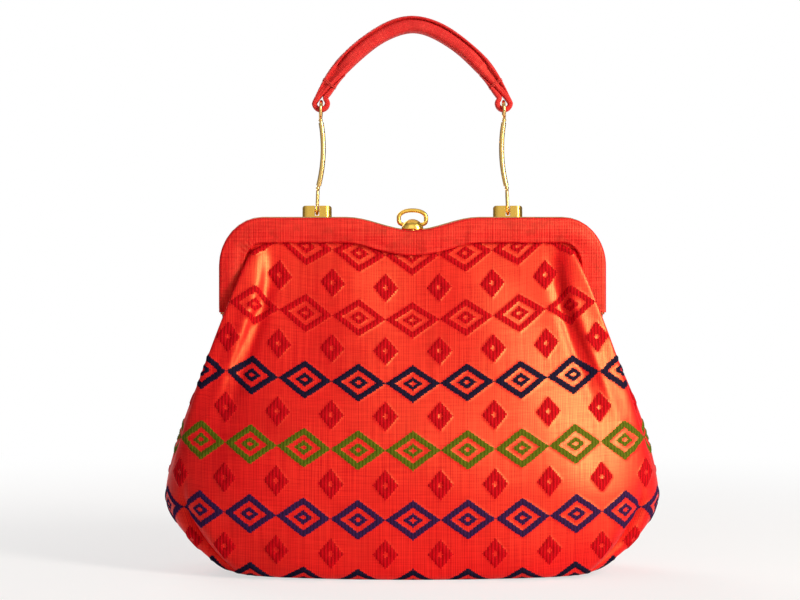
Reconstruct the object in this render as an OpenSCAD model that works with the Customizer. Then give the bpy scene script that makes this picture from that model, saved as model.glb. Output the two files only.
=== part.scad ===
// Velvet frame handbag: a soft cloth body hung in a hinged, cloth-covered metal frame,
// closed by a flip-loop clasp and carried by a cloth strap on two bowed brass bars.
// Millimetres. +Z is up, the front faces -Y, and the origin is the middle of the flat base.

/* [Bag body] */
// Widest width of the cloth body
bag_width = 280; // [260:1:300]
// Greatest depth of the cloth body, front to back
bag_depth = 100; // [90:1:115]
// Height of the widest level above the table
belly_z = 45; // [42:1:54]
// Length of the flat base
base_length = 198; // [184:1:205]
// Depth of the flat base
base_depth = 78; // [70:1:84]
// Wall of the velvet with its interlining
velvet_t = 1.6; // [1.2:0.1:2]
// Wall of the lining
lining_t = 0.8; // [0.6:0.1:1]
// Air between two layers of cloth
cloth_gap = 0.4; // [0.3:0.05:0.5]
// Depth of the pleat at each upper corner of a panel
pleat_depth = 3; // [0:0.5:4]
// Depth of the tuck that boxes each lower corner
tuck_depth = 4; // [0:0.5:5]
// Thickness of the stiff board under the lining
board_t = 2; // [1.5:0.5:3]

/* [Frame] */
// Outside width of the frame
frame_width = 220.6; // [214:0.2:226]
// Height of the hinge axis above the table
hinge_z = 148; // [144:0.5:152]
// Height of the frame above its hinge axis
frame_h = 53.4; // [50:0.2:58]
// Depth of the dip in the middle of the frame's top
frame_dip = 7.2; // [4:0.2:9]
// Half the length of the dip
dip_half = 38; // [32:1:42]
// Width of the rounded shoulder
corner_w = 25; // [23:0.5:28]
// Height of the rounded shoulder
corner_h = 28; // [24:0.5:30]
// Width of the cloth-covered band
band_w = 15; // [13:0.2:16]
// Depth of one half of the frame, from the parting line to the face of its cover
half_depth = 12; // [11:0.2:14]
// Thickness of the sheet metal
metal_t = 1; // [0.8:0.1:1.2]
// Width of the bare metal rim beside the parting line
rim_w = 2.2; // [1.6:0.1:3]
// Height of the rim above the cloth cover
rim_proud = 0.8; // [0.4:0.1:1.2]
// Thickness of the cloth where it wraps over the frame's edge
wrap_t = 0.9; // [0.6:0.1:1.1]
// Padding on the face of the cover
pad_t = 1.2; // [0.8:0.1:1.6]
// Radius of the hinge lugs
lug_r = 4.5; // [4:0.1:5]
// Diameter of the hinge rivets
rivet_d = 3; // [2.4:0.1:3.6]

/* [Clasp] */
// Thickness of the loop's wire
loop_d = 2.4; // [2:0.1:2.8]
// Radius of the loop's round ends, at the middle of the wire
loop_r = 4.3; // [4:0.1:5]
// Straight length of the loop's bars
loop_bar = 7; // [6:0.5:9]
// Radius of the domed catch
dome_r = 4.6; // [4:0.1:5]

/* [Handle] */
// Distance of each handle tab from the middle of the bag
tab_x = 54.6; // [48:0.2:62]
// Width of a tab
tab_w = 16.8; // [14:0.2:20]
// Depth of a tab, front to back
tab_d = 8; // [7:0.2:9]
// Height of a tab above its pin
tab_over = 2.6; // [2:0.1:4]
// Diameter of the pin in a tab
pin_d = 1.7; // [1.5:0.1:1.8]
// Thickness of the wire in the bars
wire_d = 1.8; // [1.6:0.1:2]
// Length of the long eye between its round ends
eye_len = 10; // [8:0.5:14]
// Radius of the round ring that holds the strap, at the middle of the wire
ring_r = 4.9; // [4.7:0.1:5.6]
// Outside diameter of the brass sleeve
sleeve_d = 2.9; // [2.7:0.1:3.4]
// Length of a bar between its two eyes
bar_len = 39; // [34:0.5:46]
// How far a bar bows towards the middle of the bag
bar_bow = 2.2; // [1.2:0.1:3]
// Lean of the bars towards each other, in degrees
bar_lean = 2.2; // [0:0.1:3]
// Height of the strap's arch above the rings
strap_rise = 49; // [44:0.5:54]
// Width of the strap at the top of the arch
strap_w = 13; // [10:0.5:16]
// Thickness of the folded strap at the top of the arch
strap_t = 9.5; // [8:0.5:11]
// Width of the strap's ends, where they pass through the rings
strap_end_w = 6.8; // [5:0.2:7]
// Thickness of the cloth in the strap's end loops
strap_end_t = 3; // [2.4:0.1:3.2]

/* [Hidden] */
$fn = 48;

velvet_red = [0.78, 0.08, 0.07];
cover_red = [0.82, 0.12, 0.09];
lining_red = [0.45, 0.05, 0.06];
board_grey = [0.62, 0.55, 0.45];
gilt = [0.86, 0.66, 0.24];

part_gap = 0.3;
arm_below = 1;
seat_gap = 0.15;
running = 0.05;
frame_half = frame_width / 2;
frame_top = hinge_z + frame_h;
arm_end_z = hinge_z - arm_below;
corner_x = frame_half - corner_w;
web_in = rim_proud + wrap_t + part_gap;
wall_y = half_depth - pad_t - part_gap;
cloth_y = wall_y - metal_t - part_gap;

function lerp(a, b, t) = a + (b - a) * t;
function clamp01(t) = max(0, min(1, t));
function smooth(t) = let (c = clamp01(t)) c * c * (3 - 2 * c);
function bump(t, mid, half) = let (d = (t - mid) / half) exp(-d * d);
function bezier(p, t) =
  let (s = 1 - t) s * s * s * p[0] + 3 * s * s * t * p[1] + 3 * s * t * t * p[2] + t * t * t * p[3];
function reverse(list) = [for (i = [len(list) - 1 : -1 : 0]) list[i]];

// Outline of the frame, seen from the front, from the top's middle to the end of one arm.
// Each station is [x, z, normal x, normal z].
dip_steps = 8;
corner_steps = 8;
function top_edge(x) = frame_top - frame_dip * (1 + cos(180 * min(abs(x), dip_half) / dip_half)) / 2;
function top_slope(x) = frame_dip * sin(180 * min(abs(x), dip_half) / dip_half) * PI / (2 * dip_half);
function half_stations() = concat(
  [for (i = [0 : dip_steps])
    let (x = dip_half * i / dip_steps, m = top_slope(x), k = norm([m, 1])) [x, top_edge(x), -m / k, 1 / k]],
  [for (i = [0 : corner_steps])
    let (a = 90 - 90 * i / corner_steps, n = [cos(a) / corner_w, sin(a) / corner_h], k = norm(n))
    [corner_x + corner_w * cos(a), frame_top - corner_h + corner_h * sin(a), n[0] / k, n[1] / k]],
  [[frame_half, arm_end_z, 1, 0]]
);
stations = let (h = half_stations()) concat(
  reverse([for (i = [1 : len(h) - 1]) [-h[i][0], h[i][1], -h[i][2], h[i][3]]]), h
);
function outline(inset) = [for (s = stations) [s[0] - s[2] * inset, s[1] - s[3] * inset]];

module slab(y_low, y_high) {
  translate([0, y_high, 0]) rotate([90, 0, 0]) linear_extrude(y_high - y_low) children();
}
module band(inset_from, inset_to) {
  polygon(concat(outline(inset_from), reverse(outline(inset_to))));
}
module along_x(x_low, x_high, r) {
  translate([x_low, 0, 0]) rotate([0, 90, 0]) cylinder(h = x_high - x_low, r = r);
}
module on_side(side) {
  if (side < 0) mirror([1, 0, 0]) children();
  else children();
}
module both_sides() {
  on_side(1) children();
  on_side(-1) children();
}

// Solid swept along the frame's outline from a closed list of [inset, y] points.
module outline_sweep(profile) {
  n = len(stations);
  k = len(profile);
  rows = [for (p = profile) outline(p[0])];
  points = [for (i = [0 : k - 1]) for (q = rows[i]) [q[0], profile[i][1], q[1]]];
  sides = [for (i = [0 : k - 1]) for (j = [0 : n - 2])
    let (a = i * n + j, b = (i + 1) % k * n + j) each [[a, a + 1, b + 1], [a, b + 1, b]]];
  caps = [[for (i = [0 : k - 1]) i * n], [for (i = [k - 1 : -1 : 0]) i * n + n - 1]];
  polyhedron(points, concat(sides, caps), convexity = 8);
}

// Hinged frame. The two halves part at y = 0 and turn about the rivets, which lie along X.
rivet_r = rivet_d / 2;
front_lug_out = frame_half - web_in;
front_lug_in = front_lug_out - metal_t;
rear_lug_out = front_lug_in - seat_gap;
rear_lug_in = rear_lug_out - metal_t;
lug_bridge = 9;
rivet_head_r = rivet_r + 0.7;
rivet_head_t = 1;

module half_shell() {
  slab(-rim_w, -part_gap) band(0, web_in + metal_t);
  slab(-wall_y, -part_gap) band(web_in, web_in + metal_t);
  slab(-wall_y, metal_t - wall_y) band(web_in, band_w - seat_gap);
}

module front_frame() {
  color(gilt) difference() {
    union() {
      half_shell();
      both_sides() translate([0, 0, hinge_z]) along_x(front_lug_in, front_lug_out, lug_r);
    }
    both_sides() translate([0, 0, hinge_z]) {
      along_x(front_lug_in - 1, front_lug_out + 1, rivet_r + running);
      along_x(front_lug_out, frame_half + 1, rivet_head_r + part_gap);
    }
    translate([0, catch_y, 0]) cylinder(h = frame_top, r = stem_r + part_gap);
  }
}

module rear_lug() {
  translate([0, 0, hinge_z]) along_x(rear_lug_in, rear_lug_out, lug_r);
  translate([rear_lug_in, part_gap, hinge_z])
    cube([metal_t, wall_y - 2 * part_gap, lug_r + lug_bridge]);
  translate([rear_lug_in, part_gap, hinge_z + lug_r + part_gap])
    cube([front_lug_out - rear_lug_in, wall_y - 2 * part_gap, lug_bridge - part_gap]);
}

module rear_frame() {
  color(gilt) difference() {
    union() {
      difference() {
        mirror([0, 1, 0]) half_shell();
        both_sides() translate([0, 0, hinge_z])
          along_x(rear_lug_in - 1, frame_half + 1, lug_r + part_gap);
      }
      both_sides() rear_lug();
    }
    both_sides() translate([0, 0, hinge_z]) along_x(rear_lug_in - 1, rear_lug_out + 1, rivet_r + running);
    both_sides() translate([tab_x, tab_y, 0]) cylinder(h = frame_top, r = stem_r + part_gap);
    translate([0, bracket_y, 0]) cylinder(h = frame_top, r = stem_r + part_gap);
  }
}

module hinge_rivet(side) {
  color(gilt) on_side(side) translate([0, 0, hinge_z]) {
    along_x(rear_lug_in - seat_gap, front_lug_out + seat_gap, rivet_r);
    along_x(rear_lug_in - seat_gap - rivet_head_t, rear_lug_in - seat_gap, rivet_head_r);
    along_x(front_lug_out + seat_gap, front_lug_out + seat_gap + rivet_head_t, rivet_head_r);
  }
}

// Padded cloth covers, wrapped over the outer edge of each half as far as the bare rim.
edge_r = 1.8;
crown = 0.3;
hem_r = 0.7 * pad_t;
wrap_start = rim_w + seat_gap;
cover_back = wall_y + part_gap;
bevel = 1 - sqrt(0.5);
cover_profile = [
  [rim_proud, -wrap_start],
  [rim_proud, edge_r - half_depth],
  [rim_proud + bevel * edge_r, bevel * edge_r - half_depth],
  [rim_proud + edge_r, crown - half_depth],
  [(rim_proud + band_w) / 2, -half_depth],
  [band_w - hem_r, crown - half_depth],
  [band_w, hem_r + crown - half_depth],
  [band_w, -cover_back],
  [rim_proud + wrap_t, -cover_back],
  [rim_proud + wrap_t, -wrap_start]
];

module front_cover() {
  color(cover_red) difference() {
    outline_sweep(cover_profile);
    translate([0, catch_y, 0]) cylinder(h = frame_top, r = stem_r + part_gap);
  }
}

module rear_cover() {
  color(cover_red) difference() {
    mirror([0, 1, 0]) outline_sweep(cover_profile);
    both_sides() translate([tab_x, tab_y, 0]) cylinder(h = frame_top, r = stem_r + part_gap);
    translate([0, bracket_y, 0]) cylinder(h = frame_top, r = stem_r + part_gap);
  }
}

// Riveted stem through the cover and the web of one half, with its head under the web.
stem_r = 1.3;
stem_head_r = 2.2;
stem_head_t = 0.8;
stem_y = wrap_start + stem_r + 2 * part_gap;
module stem(z_seat, z_web_top) {
  z_head = z_web_top - metal_t - seat_gap - stem_head_t;
  translate([0, 0, z_head]) cylinder(h = stem_head_t, r = stem_head_r);
  translate([0, 0, z_head]) cylinder(h = z_seat - z_head, r = stem_r);
}

// Flip-loop clasp in the dip: the loop tilts in a barrel on the rear half, and a nub on the barrel's foot
// snaps into the back of the domed catch on the front half.
dip_top = frame_top - frame_dip;
clasp_seat = top_edge(dome_r) + seat_gap;
loop_wire = loop_d / 2;
barrel_r = loop_wire + 0.9;
barrel_len = loop_bar - 2;
bracket_y = stem_y;
catch_y = -stem_y;
barrel_y = bracket_y - 1;
barrel_z = clasp_seat + barrel_r;
nub_r = 0.8;
nub_reach = 1.2;
dome_back = 2 * part_gap;
dome_y = -2 * dome_back;
dome_lift = 0.9;

module clasp_catch() {
  color(gilt) {
    difference() {
      intersection() {
        translate([0, dome_y, clasp_seat + dome_lift]) sphere(r = dome_r);
        translate([-2 * dome_r, -2 * dome_r - dome_back, clasp_seat])
          cube([4 * dome_r, 2 * dome_r, 2 * dome_r]);
      }
      translate([0, 0, barrel_z]) rotate([90, 0, 0])
        cylinder(h = nub_reach + part_gap, r = nub_r + part_gap);
    }
    translate([0, catch_y, 0]) stem(clasp_seat + seat_gap, dip_top - web_in);
  }
}

module clasp_bracket() {
  foot_w = barrel_len;
  foot_d = bracket_y + stem_r - barrel_y + barrel_r;
  color(gilt) {
    difference() {
      union() {
        translate([0, barrel_y, barrel_z]) along_x(-barrel_len / 2, barrel_len / 2, barrel_r);
        translate([-foot_w / 2, barrel_y - barrel_r + seat_gap, clasp_seat])
          cube([foot_w, foot_d, barrel_r]);
        translate([0, barrel_y - barrel_r + seat_gap, barrel_z]) rotate([90, 0, 0])
          cylinder(h = barrel_y - barrel_r + seat_gap + nub_reach, r = nub_r);
      }
      translate([0, barrel_y, barrel_z]) along_x(-barrel_len, barrel_len, loop_wire + 2 * running);
    }
    translate([0, bracket_y, 0]) stem(clasp_seat + seat_gap, dip_top - web_in);
  }
}

module half_ring(ring_radius, wire_radius) {
  rotate([0, 0, -90]) rotate_extrude(angle = 180) translate([ring_radius, 0]) circle(r = wire_radius);
}

module clasp_loop() {
  color(gilt) translate([0, barrel_y, barrel_z]) {
    both_sides() translate([loop_bar / 2, 0, loop_r]) rotate([90, 0, 0]) half_ring(loop_r, loop_wire);
    for (z = [0, 2 * loop_r]) translate([0, 0, z]) along_x(-loop_bar / 2, loop_bar / 2, loop_wire);
  }
}

// Handle tabs on the rear half, each with a cross pin in its slot.
wire_r = wire_d / 2;
pin_r = pin_d / 2;
eye_play = 0.15;
slot_side = 0.4;
slot_floor = 0.8;
tab_y = part_gap + tab_d / 2;
eye_r = wire_r + pin_r + eye_play;
pin_rise = slot_floor + part_gap + eye_r + wire_r;
pin_z = frame_top + pin_rise;
tab_h = pin_rise + tab_over;
tab_round = 1.6;
slot_w = wire_d + 2 * slot_side;
pin_len = tab_w - 3;

module tab(side) {
  color(gilt) on_side(side) translate([tab_x, tab_y, frame_top]) {
    difference() {
      intersection() {
        linear_extrude(tab_h) {
          square([tab_w - tab_d, tab_d], center = true);
          for (x = [-1, 1]) translate([x * (tab_w - tab_d) / 2, 0]) circle(r = tab_d / 2);
        }
        slab(-tab_d, tab_d) {
          translate([-tab_w / 2, 0]) square([tab_w, tab_h - tab_round]);
          translate([tab_round - tab_w / 2, 0]) square([tab_w - 2 * tab_round, tab_h]);
          for (x = [-1, 1])
            translate([x * (tab_w / 2 - tab_round), tab_h - tab_round]) circle(r = tab_round);
        }
      }
      translate([-slot_w / 2, -tab_d, slot_floor]) cube([slot_w, 2 * tab_d, tab_h]);
      translate([0, 0, pin_rise]) along_x(-tab_w, tab_w, pin_r + running);
    }
    translate([0, 0, -frame_top]) stem(frame_top + slot_floor / 2, frame_top - web_in);
  }
}

module tab_pin(side) {
  color(gilt) on_side(side) translate([tab_x, tab_y, pin_z]) along_x(-pin_len / 2, pin_len / 2, pin_r);
}

// Handle bars: a wire with a long eye below and a round ring above, and a bowed sleeve over its middle.
neck = 0.9;
bead_r = 1.2;
sleeve_back = 1.5;
sleeve_fit = 0.06;
bar_foot = eye_len + eye_r + neck;
ring_up = bar_foot + bar_len + neck + ring_r;
bow_r = bar_len * bar_len / (8 * bar_bow) + bar_bow / 2;
bow_half = asin(bar_len / 2 / bow_r);
sleeve_half = bow_half - sleeve_back / bow_r * 180 / PI;

module on_bar(side) {
  on_side(side) translate([tab_x, tab_y, pin_z]) rotate([0, -bar_lean, 0]) children();
}
module bow(half_angle) {
  translate([bow_r - bar_bow, 0, bar_foot + bar_len / 2])
    rotate([90, 0, 0]) rotate([0, 0, 180 - half_angle])
    rotate_extrude(angle = 2 * half_angle) translate([bow_r, 0]) children();
}

module bar_wire(side) {
  color(gilt) on_bar(side) {
    rotate([0, 90, 0]) half_ring(eye_r, wire_r);
    for (y = [-eye_r, eye_r]) translate([0, y, 0]) cylinder(h = eye_len, r = wire_r);
    translate([0, 0, eye_len]) rotate([0, -90, 0]) half_ring(eye_r, wire_r);
    translate([0, 0, eye_len + eye_r]) cylinder(h = neck, r = wire_r);
    for (z = [bar_foot, bar_foot + bar_len]) translate([0, 0, z]) sphere(r = bead_r);
    bow(bow_half) circle(r = wire_r);
    translate([0, 0, bar_foot + bar_len]) cylinder(h = neck, r = wire_r);
    translate([0, 0, ring_up]) rotate([0, 90, 0])
      rotate_extrude() translate([ring_r, 0]) circle(r = wire_r);
  }
}

module bar_sleeve(side) {
  color(gilt) on_bar(side) bow(sleeve_half) difference() {
    circle(r = sleeve_d / 2);
    circle(r = wire_r + sleeve_fit);
  }
}

// Strap: one folded band whose ends pass through the rings, turn back and are tucked under the arch.
ring_x = tab_x - ring_up * sin(bar_lean);
ring_z = pin_z + ring_up * cos(bar_lean);
strap_top = ring_z + strap_rise;
loop_hole = 2.2;
turn_r = loop_hole + strap_end_t / 2;
ring_slack = 0.5;
turn_z = ring_z + ring_r - wire_r - part_gap - strap_end_t + turn_r - ring_slack;
tuck_gap = 0.5;
end_lean = 8.8;
end_rise = 0.33 * strap_rise;
arch_flat = 0.4 * ring_x;
arch = [
  [ring_x + turn_r, turn_z],
  [ring_x + turn_r - end_lean, turn_z + end_rise],
  [arch_flat, strap_top],
  [0, strap_top]
];
arch_steps = 14;
turn_steps = 8;
tuck_from = 0.22;
tuck_to = 0.12;
tuck_steps = 4;
function arch_at(s) = bezier(arch, s);
function arch_dir(s) = let (d = arch_at(min(1, s + 0.01)) - arch_at(max(0, s - 0.01))) d / norm(d);
full_t_at = 0.4;
full_w_at = 0.5;
function arch_t(s) = lerp(strap_end_t, strap_t, smooth(s / full_t_at));
function arch_w(s) = lerp(strap_end_w, strap_w, smooth(s / full_w_at));
// Each station is [x, z, along x, along z, width, thickness], from the tucked end to the top of the arch.
strap_half = concat(
  [for (i = [0 : tuck_steps])
    let (
      s = lerp(tuck_from, tuck_to, i / tuck_steps), d = arch_dir(s),
      p = arch_at(s) + [-d[1], d[0]] * (arch_t(s) / 2 + tuck_gap + strap_end_t / 2)
    ) [p[0], p[1], -d[0], -d[1], strap_end_w, strap_end_t]],
  [for (i = [0 : turn_steps])
    let (a = lerp(180, 360, i / turn_steps))
    [ring_x + turn_r * cos(a), turn_z + turn_r * sin(a), -sin(a), cos(a), strap_end_w, strap_end_t]],
  [for (i = [1 : arch_steps])
    let (s = i / arch_steps, p = arch_at(s), d = arch_dir(s))
    [p[0], p[1], d[0], d[1], arch_w(s), arch_t(s)]]
);
strap_path = concat(strap_half, [for (i = [len(strap_half) - 2 : -1 : 0])
  let (p = strap_half[i]) [-p[0], p[1], p[2], -p[3], p[4], p[5]]]);
// Section of the band, with the fold in its front face: [across, out of the arch], as shares of the width
// and the thickness.
fold_depth = 0.2;
strap_section = [
  [-0.5, -0.36], [-0.5, 0.12], [fold_depth - 0.5, 0.19], [-0.5, 0.26], [-0.46, 0.42], [-0.36, 0.5],
  [0.36, 0.5], [0.5, 0.36], [0.5, -0.36], [0.36, -0.5], [-0.36, -0.5]
];

module strap() {
  n = len(strap_path);
  k = len(strap_section);
  points = [for (p = strap_path) for (c = strap_section)
    [p[0] + p[3] * c[1] * p[5], tab_y + c[0] * p[4], p[1] - p[2] * c[1] * p[5]]];
  sides = [for (i = [0 : n - 2]) for (j = [0 : k - 1])
    let (a = i * k + j, b = i * k + (j + 1) % k) each [[a, b, b + k], [a, b + k, a + k]]];
  caps = [[for (j = [k - 1 : -1 : 0]) j], [for (j = [0 : k - 1]) (n - 1) * k + j]];
  color(cover_red) polyhedron(points, concat(sides, caps), convexity = 10);
}

// Cloth body. A quarter of its surface is a sheaf of curves that rise from the flat base, round the
// belly and run up into the frame. q goes from the front's middle (0) to the side's middle (1), and v
// from the edge of the base (0) to the belly (1), the frame (2) and the tucked hem (hem_v).
belly_half = bag_width / 2;
belly_depth = bag_depth / 2;
base_half = base_length / 2;
base_half_depth = base_depth / 2;
belly_shape = 2.6;
base_shape = 5;
sweep_shape = 4.5;
hem_v = 2.2;
hem_len = 6;
side_q = 0.74;
arm_t = 0.8;
neck_in = 1.4;
corner_t = 0.45;
neck_x = corner_x;
arm_x = frame_half - band_w - neck_in;
gusset_x = arm_x + 6;
gusset_z = hinge_z - lug_r - velvet_t;
// Fullness of the cloth: how far each curve leaves the belly straight up, and the frame along a drop.
front_rise = 47;
side_rise = 25;
front_drop = [0, -4.5, -35];
arm_drop = [3.5, -14, -9];
gusset_drop = [13.5, 0, -1.6];
arm_drop_q = 0.62;
arm_drop_span = 0.2;
gusset_drop_q = 0.93;
gusset_drop_span = 1 - gusset_drop_q;
side_sweep = 0.12;
front_sweep = 0.75;
sweep_half = lerp(base_half, belly_half, side_sweep);
sweep_depth = lerp(base_half_depth, belly_depth, front_sweep);
front_round = 0.3;
side_round = 0.55;

function curve_out(q, shape) = pow(sin(90 * q), 2 / shape);
function curve_in(q, shape) = pow(cos(90 * q), 2 / shape);
function oval(half, depth, shape, q, z) = [half * curve_out(q, shape), -depth * curve_in(q, shape), z];

function neck_top(q) =
  let (x = neck_x * curve_out(q, belly_shape) / curve_out(side_q, belly_shape))
  [x, -cloth_y, top_edge(x) - band_w - neck_in];
function neck_corner(t) =
  let (a = 90 - 90 * t, n = [cos(a) / corner_w, sin(a) / corner_h], k = (band_w + neck_in) / norm(n))
  [
    corner_x + corner_w * cos(a) - n[0] * k,
    -cloth_y,
    frame_top - corner_h + corner_h * sin(a) - n[1] * k
  ];
function neck_arm(t) = [arm_x, -cloth_y, lerp(frame_top - corner_h, gusset_z, t)];
function neck_gusset(t) = [lerp(arm_x, gusset_x, sin(90 * t)), -cloth_y * cos(90 * t), gusset_z];
function neck_at(q) =
  let (t = (q - side_q) / (1 - side_q))
  t <= 0 ? neck_top(q) :
  t <= corner_t ? neck_corner(t / corner_t) :
  t <= arm_t ? neck_arm((t - corner_t) / (arm_t - corner_t)) :
  neck_gusset((t - arm_t) / (1 - arm_t));
function neck_drop(q) =
  let (
    to_arm = smooth((q - arm_drop_q) / arm_drop_span),
    to_gusset = smooth((q - gusset_drop_q) / gusset_drop_span)
  )
  lerp(lerp(front_drop, arm_drop, to_arm), gusset_drop, to_gusset);
function hem_dir(q) =
  let (
    t = clamp01((q - side_q) / (1 - side_q)),
    out = smooth(t / corner_t) * (1 - smooth((t - arm_t) / (1 - arm_t)))
  ) [0.7 * out, 0, 1 - 0.8 * out];

function lower_curve(q) = [
  oval(base_half, base_half_depth, base_shape, q, 0),
  oval(sweep_half, sweep_depth, sweep_shape, q, 0),
  oval(belly_half, belly_depth, belly_shape, q, belly_z * lerp(front_round, side_round, smooth(q))),
  oval(belly_half, belly_depth, belly_shape, q, belly_z)
];
function upper_curve(q) = [
  oval(belly_half, belly_depth, belly_shape, q, belly_z),
  oval(belly_half, belly_depth, belly_shape, q, belly_z + lerp(front_rise, side_rise, smooth(q))),
  neck_at(q) + neck_drop(q),
  neck_at(q)
];
function quarter(q, v) =
  v <= 1 ? bezier(lower_curve(q), v) :
  v <= 2 ? bezier(upper_curve(q), v - 1) :
  neck_at(q) + hem_dir(q) * hem_len * (v - 2) / (hem_v - 2);

// The whole surface: w runs once round the bag, from 0 at the front's middle to 4.
function around(w) = (w + 4) % 4;
function quarters(w, p) =
  let (k = floor(w)) [k < 2 ? p[0] : -p[0], k == 0 || k == 3 ? p[1] : -p[1], p[2]];
function quarter_q(w) = let (k = floor(w), f = w - k) k % 2 == 0 ? f : 1 - f;
function smooth_body(w, v) = quarters(around(w), quarter(quarter_q(around(w)), v));
function body_normal(w, v) =
  let (
    low = max(0, v - 0.01),
    along = smooth_body(w + 0.01, v) - smooth_body(w - 0.01, v),
    n = cross(along, smooth_body(w, v + 0.01) - smooth_body(w, low))
  ) n / norm(n);
// Pleats fan out under the frame's shoulders, and a tuck boxes each lower corner.
pleat_q = 0.69;
pleat_half = 0.045;
valley_q = 0.6;
valley_half = 0.04;
valley_share = 0.6;
pleat_low = 1.6;
tuck_q = 0.7;
tuck_half = 0.05;
tuck_from_v = 0.2;
function fold(w, v) =
  let (
    q = quarter_q(around(w)),
    high = v > 1 && v < 2 ? pow(sin(180 * pow(v - 1, pleat_low)), 2) : 0,
    low = pow(sin(180 * clamp01(v - tuck_from_v)), 2),
    pleat = bump(q, pleat_q, pleat_half) - valley_share * bump(q, valley_q, valley_half)
  )
  pleat_depth * high * pleat - tuck_depth * low * bump(q, tuck_q, tuck_half);
function body_point(w, v, inside) = smooth_body(w, v) + body_normal(w, v) * (fold(w, v) - inside);

// Closed skin, open at the top, between an outer and an inner surface, each a function of w and v.
module cloth_layer(outer, inner, columns, lower_rows, upper_rows, top_v) {
  rows = concat(
    [for (i = [0 : lower_rows - 1]) i / lower_rows],
    [for (i = [0 : upper_rows]) 1 + i / upper_rows],
    [top_v]
  );
  n = 4 * columns;
  k = n * len(rows);
  points = [for (skin = [outer, inner]) for (v = rows) for (j = [0 : n - 1]) skin(j / columns, v)];
  walls = [for (i = [0 : len(rows) - 2]) for (j = [0 : n - 1])
    let (a = i * n + j, b = i * n + (j + 1) % n)
    each [[a, b + n, b], [a, a + n, b + n], [a + k, b + k, b + n + k], [a + k, b + n + k, a + n + k]]];
  rim = [for (j = [0 : n - 1])
    let (a = k - n + j, b = k - n + (j + 1) % n) each [[a, b + k, b], [a, a + k, b + k]]];
  floors = [[for (j = [0 : n - 1]) j], [for (j = [n - 1 : -1 : 0]) k + j]];
  polyhedron(points, concat(walls, rim, floors), convexity = 10);
}

module velvet_body() {
  color(velvet_red) cloth_layer(
    function (w, v) body_point(w, v, 0), function (w, v) body_point(w, v, velvet_t), 16, 6, 12, hem_v
  );
}

// Lining: a plainer sack, cut with some ease, which hangs from the same hem and lies on the base board.
board_z = velvet_t + cloth_gap;
board_inset = 2;
lining_floor = board_z + board_t + cloth_gap;
lining_ease = 5;
lining_base_ease = 3;
lining_side_ease = 12;
lining_shape = 5;
lining_rise = 34;
lining_sweep = 0.15;
lining_base = base_half - lining_base_ease;
lining_base_depth = base_half_depth - lining_base_ease;
lining_half = lerp(lining_base, belly_half - lining_side_ease, lining_sweep);
lining_round = 0.4;
lining_side_q = 0.55;
lining_side_span = 0.4;
lining_hem = velvet_t + cloth_gap;
function lining_neck(q, in) =
  let (
    z_side = gusset_z + hem_len,
    p = oval(arm_x - hem_len - in, cloth_y - lining_hem - in, lining_shape, q, 0)
  )
  [p[0], p[1], lerp(top_edge(p[0]) - band_w, z_side, smooth((q - lining_side_q) / lining_side_span))];
function lining_belly(q, in, z) =
  oval(belly_half - lining_side_ease - in, belly_depth - lining_ease - in, belly_shape, q, z);
function lining_quarter(q, v, in) =
  v <= 1 ? bezier([
    oval(lining_base - in, lining_base_depth - in, base_shape, q, lining_floor + in),
    oval(lining_half - in, lining_base_depth - in, sweep_shape, q, lining_floor + in),
    lining_belly(q, in, lining_floor + lining_round * belly_z),
    lining_belly(q, in, belly_z)
  ], v) :
  v <= 2 ? bezier([
    lining_belly(q, in, belly_z),
    lining_belly(q, in, belly_z + lining_rise),
    lining_neck(q, in) - [0, 0, lining_rise],
    lining_neck(q, in)
  ], v - 1) :
  lining_neck(q, in) + [0, 0, hem_len * (v - 2) / (hem_v - 2)];

module lining() {
  color(lining_red) cloth_layer(
    function (w, v) quarters(w, lining_quarter(quarter_q(w), v, 0)),
    function (w, v) quarters(w, lining_quarter(quarter_q(w), v, lining_t)), 10, 4, 8, hem_v - 0.1
  );
}

board_sides = 48;
function board_at(w) =
  quarters(w, oval(base_half - board_inset, base_half_depth - board_inset, base_shape, quarter_q(w), 0));
module base_board() {
  color(board_grey) translate([0, 0, board_z]) linear_extrude(board_t)
    polygon([for (j = [0 : board_sides - 1]) let (p = board_at(4 * j / board_sides)) [p[0], p[1]]]);
}

velvet_body();
lining();
base_board();
rear_frame();
rear_cover();
hinge_rivet(-1);  // hinge_rivet_left
hinge_rivet(1);  // hinge_rivet_right
tab(-1);  // tab_left
tab(1);  // tab_right
tab_pin(-1);  // tab_pin_left
tab_pin(1);  // tab_pin_right
clasp_bracket();
front_frame();
front_cover();
clasp_catch();
clasp_loop();
bar_wire(-1);  // bar_wire_left
bar_wire(1);  // bar_wire_right
bar_sleeve(-1);  // bar_sleeve_left
bar_sleeve(1);  // bar_sleeve_right
strap();
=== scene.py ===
import math

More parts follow.
